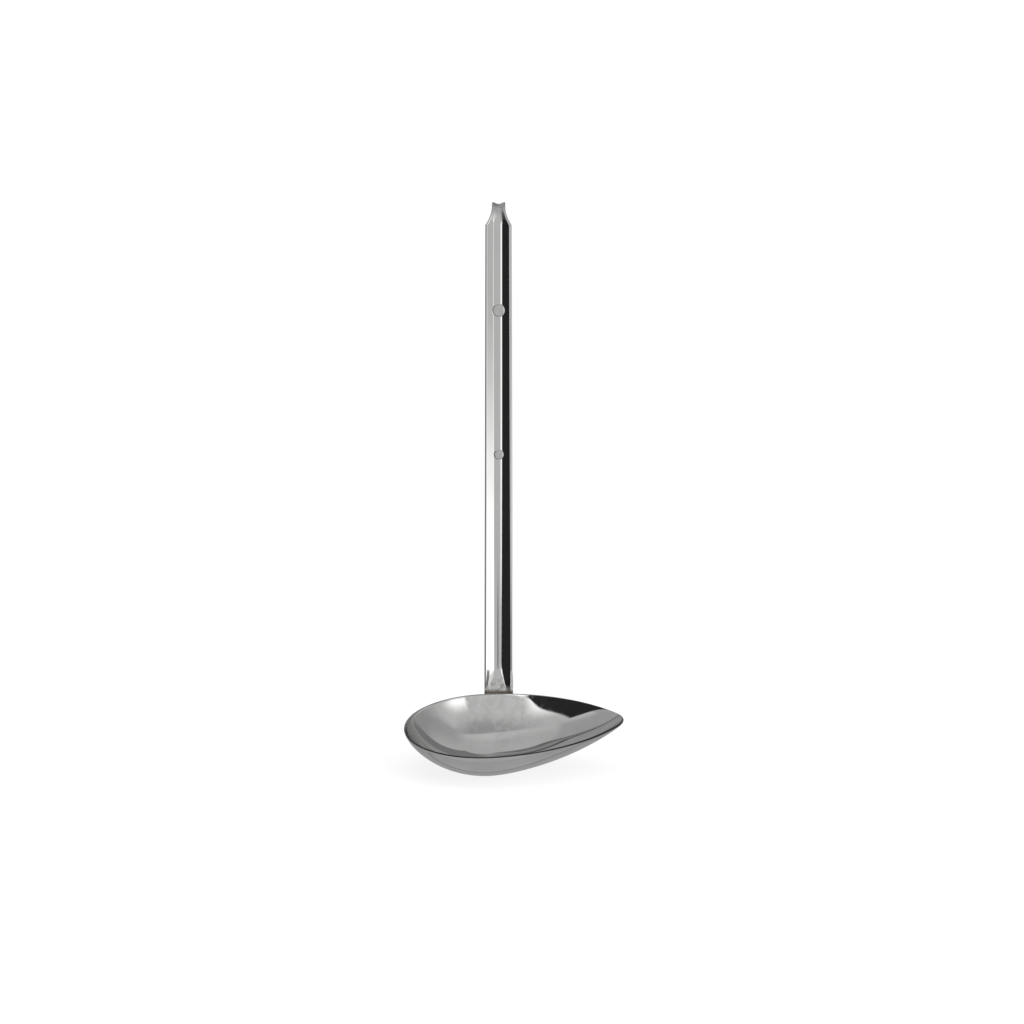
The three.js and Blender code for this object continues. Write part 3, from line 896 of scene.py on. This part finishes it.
# Patches: soft ranges of azimuth and elevation, and the level
CARD = ((28.5, 55, 1.5, 14), (4, 39, 3, 17), 1.8)  # bright, on the right
LOWER_CARD = ((30, 52, 2, 4), (-14, 4, 2, 2), 1.15)
LIT_FLOOR = ((27, 80, 3, 8), (-32, -9.3, 10, 2.2), 2.1)
REAR_CARD = ((104, 124, 3, 3), (-34, -4, 4, 3), 1.1)  # behind, on the right, for the strip's back
STAND = ((-1, 4.5, 1.5, 1.5), (-30, -11, 6, 0.6), 0.25)  # dark, in the middle below the camera

# Dark flag on the left with a rounded upper corner, and the light that spills past it
FLAG_TOP = 53.5
FLAG_CORNER = -75.0  # its upper edge starts to fall here
FLAG_FALL = 0.00062
FLAG_FALL_POWER = 2.8
FLAG_TOP_SOFT = 0.8
FLAG_FAR = (-92, -90)
FLAG_NEAR = (-20, -18)
FLAG_FOOT = (-45, -35)
FLAG_LOW = -8.5  # below this elevation its near edge slants
FLAG_SLANT = 1.6
FLAG_STEP_RANGE, FLAG_STEP = (-4, 6), 9.5  # its near edge steps back here, by so much
FLAG_LEVEL = 0.03
SPILL_OVER = (-10, 3, 1, 8)  # heights above the flag's upper edge
SPILL_SIDES = (-96, -17, 5, 3)
SPILL_RANGE, SPILL_LEVELS = (-82, -50), (0.76, 1.9)  # by azimuth
STREAK_EDGE = (-40, -13, 2, 3.5)  # azimuths at elevation 0 of the light past its near edge
STREAK_SLANT = 0.227
STREAK_HEIGHT = (-11.1, 5, 0.6, 3)
STREAK_SIDES = (-30, 0, 1, 1)
STREAK_LEVEL = 1.8


class Studio:
    """Brightness by direction in a node tree, laid in layers, each over those before it."""

    def __init__(self, tree):
        self.tree = tree
        place = split(tree, add_node(tree, "ShaderNodeTexCoord").outputs["Generated"])
        toward = self.maths("MULTIPLY", place["Y"], -1.0)
        self.right = place["X"]  # share to the camera's right
        self.azimuth = self.maths("DEGREES", self.maths("ARCTAN2", self.right, toward))
        self.away = self.maths("ABSOLUTE", self.azimuth)
        self.elevation = self.maths("DEGREES", self.maths("ARCSINE", place["Z"]))
        # Angle from overhead towards the camera
        self.lean = self.maths("DEGREES", self.maths("ARCTAN2", toward, place["Z"]))
        self.level = self.rise(self.elevation, CEILING_RANGE, CEILING_LEVELS)

    def maths(self, operation, *values):
        return maths(self.tree, operation, *values)

    def rise(self, value, ends, levels=(0.0, 1.0)):
        return rise_between(self.tree, value, *ends, *levels)

    def fall(self, value, ends):
        return fall_between(self.tree, value, *ends)

    def band(self, value, soft_range):
        return band(self.tree, value, *soft_range)

    def over(self, below, level, mask):
        """The level where the mask is 1, and what is below where it is 0."""
        return self.maths("MULTIPLY_ADD", mask, self.maths("SUBTRACT", level, below), below)

    def lay(self, level, *masks):
        """Lay a level over the layers so far, where all the masks are 1."""
        mask = masks[0]
        for other in masks[1:]:
            mask = self.maths("MULTIPLY", mask, other)
        self.level = self.over(self.level, level, mask)

    def lay_patch(self, sides, height, level):
        self.lay(level, self.band(self.azimuth, sides), self.band(self.elevation, height))


def lay_lit_ceiling(studio):
    """The back half of the ceiling is lit as far as a curved edge, which is softer at the sides."""
    aside = studio.maths("ADD", studio.right, LIT_EDGE_SHIFT)
    square = studio.maths("MULTIPLY", aside, aside)
    edge = studio.maths("MULTIPLY_ADD", square, -LIT_EDGE_CURVE, LIT_EDGE)
    soft = studio.maths("MULTIPLY_ADD", square, LIT_EDGE_SOFTENING, LIT_EDGE_SOFT)
    past = studio.maths("DIVIDE", studio.maths("SUBTRACT", studio.lean, edge), soft)
    studio.lay(studio.rise(studio.lean, LIT_RANGE, LIT_LEVELS), studio.fall(past, (-1.0, 1.0)))


def lay_walls(studio):
    """A pale front, a dim back wall and a lighter wall behind on the right."""
    azimuth, away, elevation = studio.azimuth, studio.away, studio.elevation
    studio.lay(FRONT_LEVEL, studio.fall(away, FRONT_SIDES), studio.band(elevation, FRONT_HEIGHT))
    level = studio.rise(studio.right, BACK_RANGE, BACK_LEVELS)
    studio.lay(level, studio.rise(away, BACK_SIDES), studio.band(elevation, BACK_HEIGHT))
    level = studio.rise(azimuth, RIGHT_WALL_RANGE, RIGHT_WALL_LEVELS)
    studio.lay_patch(RIGHT_WALL_SIDES, RIGHT_WALL_HEIGHT, level)


def lay_shelf(studio):
    """The dark shelf on the back wall, with a lighter stripe."""
    past_corner = studio.maths("MAXIMUM", studio.maths("SUBTRACT", SHELF_CORNER, studio.away), 0.0)
    level_with = studio.maths("MULTIPLY_ADD", past_corner, SHELF_SLOPE, studio.elevation)
    above = studio.maths("ADD", level_with, -SHELF_TOP)
    level = studio.rise(above, SHELF_RANGE, SHELF_LEVELS)
    level = studio.over(level, SHELF_STRIPE_LEVEL, studio.band(above, SHELF_STRIPE))
    on_right = studio.rise(studio.right, SHELF_SIDE)
    studio.lay(level, studio.band(above, SHELF_BODY), studio.rise(studio.away, SHELF_END), on_right)


def lay_frame(studio):
    """The two dark lines of the frame on the back wall, and what they enclose."""
    on_left = studio.fall(studio.right, FRAME_SIDE)
    raised = studio.rise(studio.elevation, FRAME_FOOT)
    for side, top, radius, line_level, inner_level in FRAMES:
        aside = studio.maths("MAXIMUM", studio.maths("SUBTRACT", side + radius, studio.away), 0.0)
        up = studio.maths("MAXIMUM", studio.maths("SUBTRACT", studio.elevation, top - radius), 0.0)
        squares = [studio.maths("MULTIPLY", value, value) for value in (aside, up)]
        reach = studio.maths("SQRT", studio.maths("ADD", *squares))
        line = (radius - FRAME_LINE, radius + FRAME_LINE)
        studio.lay(inner_level, on_left, raised, studio.fall(reach, line))
        studio.lay(line_level, on_left, raised, studio.band(reach, (*line, FRAME_SOFT, FRAME_SOFT)))


def lay_floor(studio):
    """The floor with its darker lines, dimmer behind, and a dim foot of the back wall."""
    away, elevation = studio.away, studio.elevation
    floor = studio.fall(elevation, FLOOR_EDGE)
    studio.lay(studio.rise(elevation, FLOOR_RANGE, FLOOR_LEVELS), floor)
    studio.lay(FAR_FLOOR_LEVEL, floor, studio.rise(away, FAR_FLOOR_SIDES))
    for line in FLOOR_LINES:
        ends = (line - FLOOR_LINE_HALF, line + FLOOR_LINE_HALF)
        studio.lay(FLOOR_LINE_LEVEL, studio.band(elevation, (*ends, FLOOR_LINE_SOFT, FLOOR_LINE_SOFT)))
    studio.lay(FAR_LINE_LEVEL, studio.rise(away, FAR_LINE_SIDES), studio.band(elevation, FAR_LINE_HEIGHT))
    studio.lay(SKIRTING_LEVEL, studio.rise(away, SKIRTING_SIDES), studio.band(elevation, SKIRTING_HEIGHT))


def lay_flag(studio):
    """The dark flag on the left, with light that spills past its upper and near edges."""
    azimuth, elevation = studio.azimuth, studio.elevation
    inward = studio.maths("MAXIMUM", studio.maths("ADD", azimuth, -FLAG_CORNER), 0.0)
    bend = studio.maths("POWER", inward, FLAG_FALL_POWER)
    above = studio.maths("SUBTRACT", elevation, studio.maths("MULTIPLY_ADD", bend, -FLAG_FALL, FLAG_TOP))
    spill_level = studio.rise(azimuth, SPILL_RANGE, SPILL_LEVELS)
    studio.lay(spill_level, studio.band(above, SPILL_OVER), studio.band(azimuth, SPILL_SIDES))

    near_edge = studio.maths("MULTIPLY_ADD", elevation, STREAK_SLANT, azimuth)
    streak = (studio.band(near_edge, STREAK_EDGE), studio.band(elevation, STREAK_HEIGHT))
    studio.lay(STREAK_LEVEL, *streak, studio.band(azimuth, STREAK_SIDES))

    low = studio.maths("MINIMUM", studio.maths("ADD", elevation, -FLAG_LOW), 0.0)
    slanted = studio.maths("MULTIPLY_ADD", low, FLAG_SLANT, azimuth)
    stepped = studio.maths("ADD", slanted, studio.rise(elevation, FLAG_STEP_RANGE, (0.0, FLAG_STEP)))
    sides = (studio.rise(azimuth, FLAG_FAR), studio.fall(stepped, FLAG_NEAR))
    top = studio.fall(above, (-FLAG_TOP_SOFT, FLAG_TOP_SOFT))
    studio.lay(FLAG_LEVEL, *sides, top, studio.rise(elevation, FLAG_FOOT))


def make_world():
    """White to the camera. The steel mirrors a ceiling, walls, a floor, bright cards and a dark flag."""
    world = bpy.data.worlds.new("studio")
    bpy.context.scene.world = world
    world.use_nodes = True
    tree = world.node_tree
    studio = Studio(tree)
    lay_lit_ceiling(studio)
    lay_walls(studio)
    lay_shelf(studio)
    lay_frame(studio)
    lay_floor(studio)
    for patch in (CARD, LOWER_CARD, LIT_FLOOR, REAR_CARD):
        studio.lay_patch(*patch)
    lay_flag(studio)
    studio.lay_patch(*STAND)
    studio.lay(1.0, add_node(tree, "ShaderNodeLightPath").outputs["Is Camera Ray"])
    grey = {axis: studio.level for axis in "XYZ"}
    colour = add_node(tree, "ShaderNodeCombineXYZ", grey).outputs["Vector"]
    tree.links.new(colour, tree.nodes["Background"].inputs["Color"])


# Floor, lamp and camera, in metres apart from the camera's sensor and lens

FLOOR_HALF = 12.0
FLOOR_DROP = 0.5 * MM  # gap between the bowl and the floor
FLOOR_GREY = 0.24
FLOOR_GLOW = 0.83  # light that the floor adds in the camera's view, so that it is white

LAMP_STRENGTH = 1.1
LAMP_WIDTH = radians(70)
LAMP_TURN = (radians(28), radians(14), 0)

CAMERA_TARGET = Vector((0.0062, -0.05109, -0.13378))
CAMERA_DISTANCE = 2.0
CAMERA_ELEVATION = radians(9.98)
CAMERA_SENSOR = 36.0
CAMERA_LENS = 154.4


def make_floor():
    """A wide white floor just under the bowl. The steel doesn't mirror it."""
    half = FLOOR_HALF
    mesh = bpy.data.meshes.new("floor")
    corners = [(-half, -half, 0), (half, -half, 0), (half, half, 0), (-half, half, 0)]
    mesh.from_pydata(corners, [], [(0, 1, 2, 3)])
    floor = bpy.data.objects.new("floor", mesh)
    bpy.context.scene.collection.objects.link(floor)
    floor.location.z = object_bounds()[0].z - FLOOR_DROP
    material = bpy.data.materials.new("white_floor")
    material.use_nodes = True
    tree = material.node_tree
    shader = tree.nodes["Principled BSDF"]
    shader.inputs["Base Color"].default_value = (FLOOR_GREY, FLOOR_GREY, FLOOR_GREY, 1)
    shader.inputs["Roughness"].default_value = 1.0
    shader.inputs["Specular IOR Level"].default_value = 0.0
    shader.inputs["Emission Color"].default_value = (1, 1, 1, 1)
    seen = add_node(tree, "ShaderNodeLightPath").outputs["Is Camera Ray"]
    tree.links.new(maths(tree, "MULTIPLY", seen, FLOOR_GLOW), shader.inputs["Emission Strength"])
    mesh.materials.append(material)
    floor.visible_glossy = False
    floor.visible_shadow = False


def make_lamp():
    """One wide soft lamp from above, on the right of the camera."""
    data = bpy.data.lights.new("soft_lamp", "SUN")
    data.energy = LAMP_STRENGTH
    data.angle = LAMP_WIDTH
    lamp = bpy.data.objects.new("soft_lamp", data)
    bpy.context.scene.collection.objects.link(lamp)
    lamp.rotation_euler = LAMP_TURN
    lamp.visible_glossy = False


def make_camera():
    """The photograph's view of the ladle."""
    toward = Vector((0, cos(CAMERA_ELEVATION), -sin(CAMERA_ELEVATION)))
    data = bpy.data.cameras.new("camera")
    data.sensor_width = CAMERA_SENSOR
    data.lens = CAMERA_LENS
    camera = bpy.data.objects.new("camera", data)
    camera.location = CAMERA_TARGET - CAMERA_DISTANCE * toward
    camera.rotation_euler = toward.to_track_quat("-Z", "Y").to_euler()
    bpy.context.scene.collection.objects.link(camera)
    bpy.context.scene.camera = camera


make_bowl(bowl_steel(), rim_steel())
make_handle(handle_steel())
make_seam(weld_steel("bead_steel", BEAD_COLOURS, BEAD_ROUGHNESS))
make_rim_weld(weld_steel("foot_weld_steel", FOOT_WELD_COLOURS, FOOT_WELD_ROUGHNESS))
make_world()
make_floor()
make_lamp()
make_camera()
bpy.context.scene.view_settings.view_transform = "Standard"
